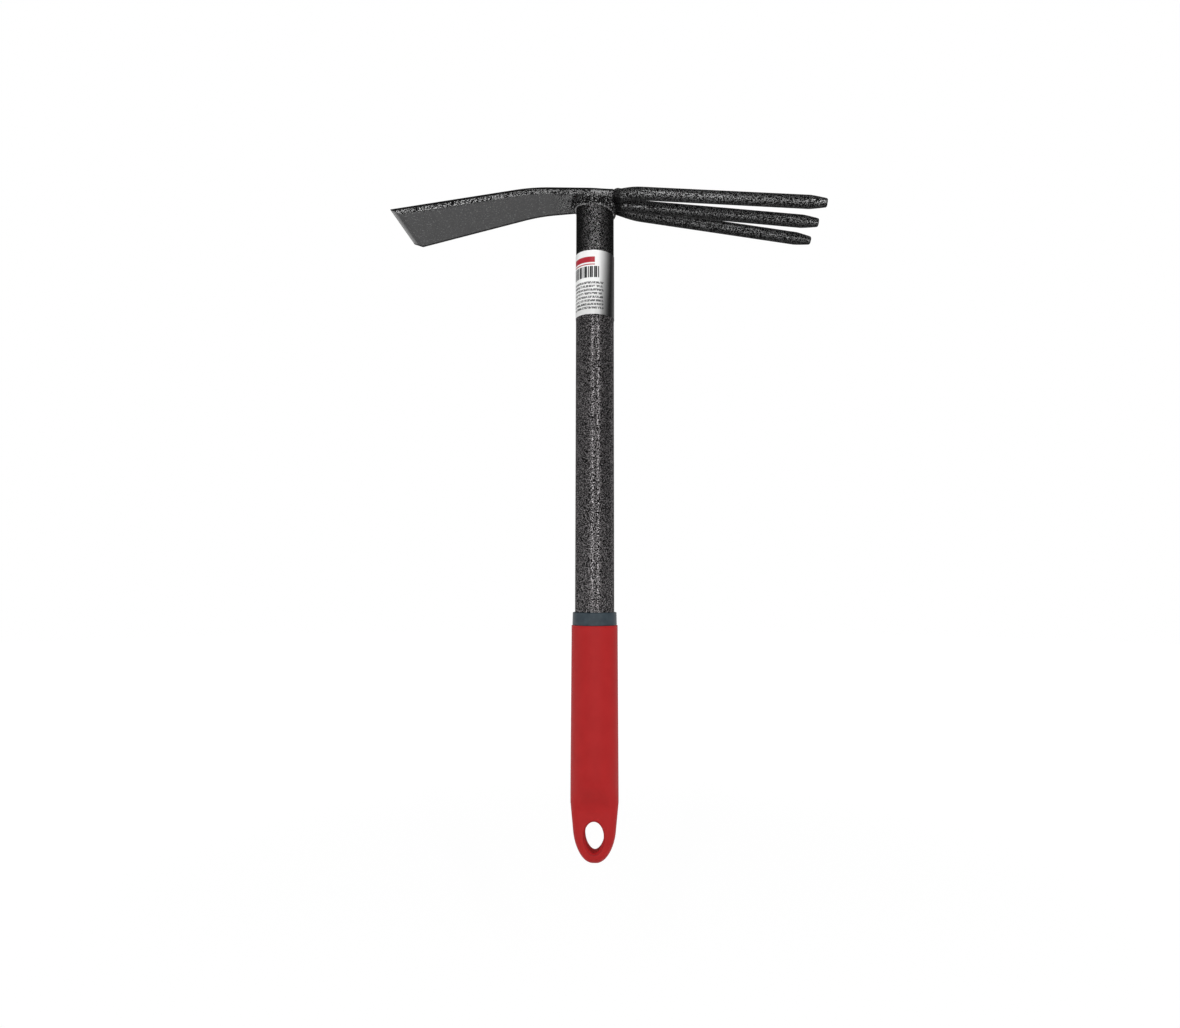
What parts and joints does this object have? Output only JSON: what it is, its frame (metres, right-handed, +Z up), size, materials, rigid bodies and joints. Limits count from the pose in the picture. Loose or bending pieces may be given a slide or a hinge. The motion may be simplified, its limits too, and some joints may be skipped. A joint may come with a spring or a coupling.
{
  "type": "hand tiller",
  "caption": "Short garden hand tiller: a hoe blade and splayed tines across a steel tube handle, with a rubber grip that ends in a flat tab with a hang hole.",
  "frame": {"origin": "on the tube's axis at the middle of the palm's place on the grip", "axes": "+Z up the handle towards the head, +X towards the tines, -X towards the hoe blade, -Y towards the viewer of the picture"},
  "size_m": [0.2444, 0.0524, 0.3791],
  "materials": {
    "steel_enamel": "hammered dark grey enamel with silver flecks",
    "label_film": "white and silver printed film",
    "core_plastic": "satin slate moulding",
    "sleeve_rubber": "matt red soft rubber"
  },
  "bodies": {
    "root": {"handle_tube": "steel_enamel", "hoe_blade": "steel_enamel", "tine_front": "steel_enamel", "tine_middle": "steel_enamel", "tine_back": "steel_enamel", "tube_weld": "steel_enamel", "tine_root_weld": "steel_enamel", "label_sleeve": "label_film", "grip_core": "core_plastic", "grip_sleeve": "sleeve_rubber"}
  },
  "joints": []
}
